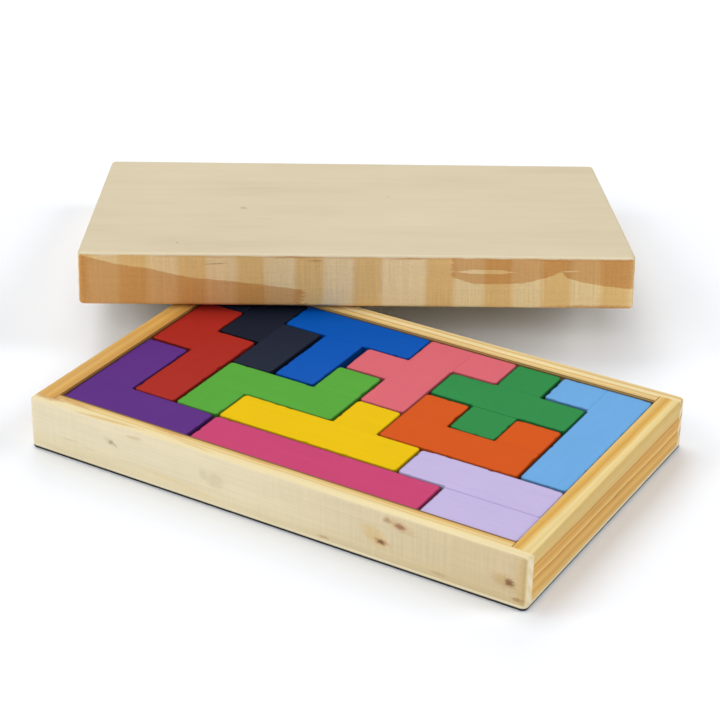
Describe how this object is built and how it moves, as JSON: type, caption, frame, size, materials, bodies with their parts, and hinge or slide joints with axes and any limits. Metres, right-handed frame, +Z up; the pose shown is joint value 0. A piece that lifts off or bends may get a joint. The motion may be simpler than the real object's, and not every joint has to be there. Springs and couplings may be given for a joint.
{
  "type": "boxed jigsaw puzzle",
  "caption": "Wooden block puzzle: painted five-cell pieces packed in a shallow tray, with a cap lid leaning on its rim. Each piece lifts out and the lid lifts off.",
  "frame": {"origin": "centre of the tray's underside, on the surface the tray stands on", "axes": "+X along the tray's long side, +Y towards its back side where the lid leans, +Z up"},
  "size_m": [0.2988, 0.2983, 0.0419],
  "materials": {
    "tray_pine": "matte",
    "tray_plywood": "matte",
    "lid_pine": "matte",
    "lid_plywood": "matte",
    "purple_paint": "satin",
    "magenta_paint": "satin",
    "lavender_paint": "satin",
    "yellow_paint": "satin",
    "light_green_paint": "satin",
    "red_paint": "satin",
    "navy_paint": "satin",
    "blue_paint": "satin",
    "salmon_paint": "satin",
    "dark_green_paint": "satin",
    "orange_paint": "satin",
    "light_blue_paint": "satin"
  },
  "bodies": {
    "tray": {"tray_base_panel": "tray_plywood", "tray_front_rail": "tray_pine", "tray_back_rail": "tray_pine", "tray_left_rail": "tray_pine", "tray_right_rail": "tray_pine"},
    "lid": {"lid_top_panel": "lid_plywood", "lid_front_rail": "lid_pine", "lid_back_rail": "lid_pine", "lid_left_rail": "lid_pine", "lid_right_rail": "lid_pine"},
    "purple_v": {"purple_v_front_block": "purple_paint", "purple_v_side_block": "purple_paint"},
    "magenta_i": {"magenta_i_block": "magenta_paint"},
    "lavender_p": {"lavender_p_front_block": "lavender_paint", "lavender_p_back_block": "lavender_paint"},
    "yellow_y": {"yellow_y_long_block": "yellow_paint", "yellow_y_short_block": "yellow_paint"},
    "light_green_z": {"light_green_z_front_block": "light_green_paint", "light_green_z_middle_block": "light_green_paint", "light_green_z_back_block": "light_green_paint"},
    "red_n": {"red_n_front_block": "red_paint", "red_n_back_block": "red_paint"},
    "navy_w": {"navy_w_front_block": "navy_paint", "navy_w_middle_block": "navy_paint", "navy_w_back_block": "navy_paint"},
    "blue_t": {"blue_t_stem_block": "blue_paint", "blue_t_bar_block": "blue_paint"},
    "salmon_f": {"salmon_f_left_block": "salmon_paint", "salmon_f_middle_block": "salmon_paint", "salmon_f_right_block": "salmon_paint"},
    "dark_green_x": {"dark_green_x_middle_block": "dark_green_paint", "dark_green_x_front_block": "dark_green_paint", "dark_green_x_back_block": "dark_green_paint"},
    "orange_u": {"orange_u_front_block": "orange_paint", "orange_u_left_block": "orange_paint", "orange_u_right_block": "orange_paint"},
    "light_blue_l": {"light_blue_l_long_block": "light_blue_paint", "light_blue_l_short_block": "light_blue_paint"}
  },
  "joints": [
    {"name": "lid_lift", "type": "slide", "parent": "tray", "child": "lid", "axis": [0, 0, 1], "range_m": [0, 0.12]},
    {"name": "purple_v_lift", "type": "slide", "parent": "tray", "child": "purple_v", "axis": [0, 0, 1], "range_m": [0, 0.03]},
    {"name": "magenta_i_lift", "type": "slide", "parent": "tray", "child": "magenta_i", "axis": [0, 0, 1], "range_m": [0, 0.03]},
    {"name": "lavender_p_lift", "type": "slide", "parent": "tray", "child": "lavender_p", "axis": [0, 0, 1], "range_m": [0, 0.03]},
    {"name": "yellow_y_lift", "type": "slide", "parent": "tray", "child": "yellow_y", "axis": [0, 0, 1], "range_m": [0, 0.03]},
    {"name": "light_green_z_lift", "type": "slide", "parent": "tray", "child": "light_green_z", "axis": [0, 0, 1], "range_m": [0, 0.03]},
    {"name": "red_n_lift", "type": "slide", "parent": "tray", "child": "red_n", "axis": [0, 0, 1], "range_m": [0, 0.03]},
    {"name": "navy_w_lift", "type": "slide", "parent": "tray", "child": "navy_w", "axis": [0, 0, 1], "range_m": [0, 0.03]},
    {"name": "blue_t_lift", "type": "slide", "parent": "tray", "child": "blue_t", "axis": [0, 0, 1], "range_m": [0, 0.03]},
    {"name": "salmon_f_lift", "type": "slide", "parent": "tray", "child": "salmon_f", "axis": [0, 0, 1], "range_m": [0, 0.03]},
    {"name": "dark_green_x_lift", "type": "slide", "parent": "tray", "child": "dark_green_x", "axis": [0, 0, 1], "range_m": [0, 0.03]},
    {"name": "orange_u_lift", "type": "slide", "parent": "tray", "child": "orange_u", "axis": [0, 0, 1], "range_m": [0, 0.03]},
    {"name": "light_blue_l_lift", "type": "slide", "parent": "tray", "child": "light_blue_l", "axis": [0, 0, 1], "range_m": [0, 0.03]}
  ],
  "couplings": [
    {"joint": "red_n_lift", "follows": "lid_lift", "ratio": 0.25},
    {"joint": "navy_w_lift", "follows": "lid_lift", "ratio": 0.25},
    {"joint": "blue_t_lift", "follows": "lid_lift", "ratio": 0.25}
  ]
}
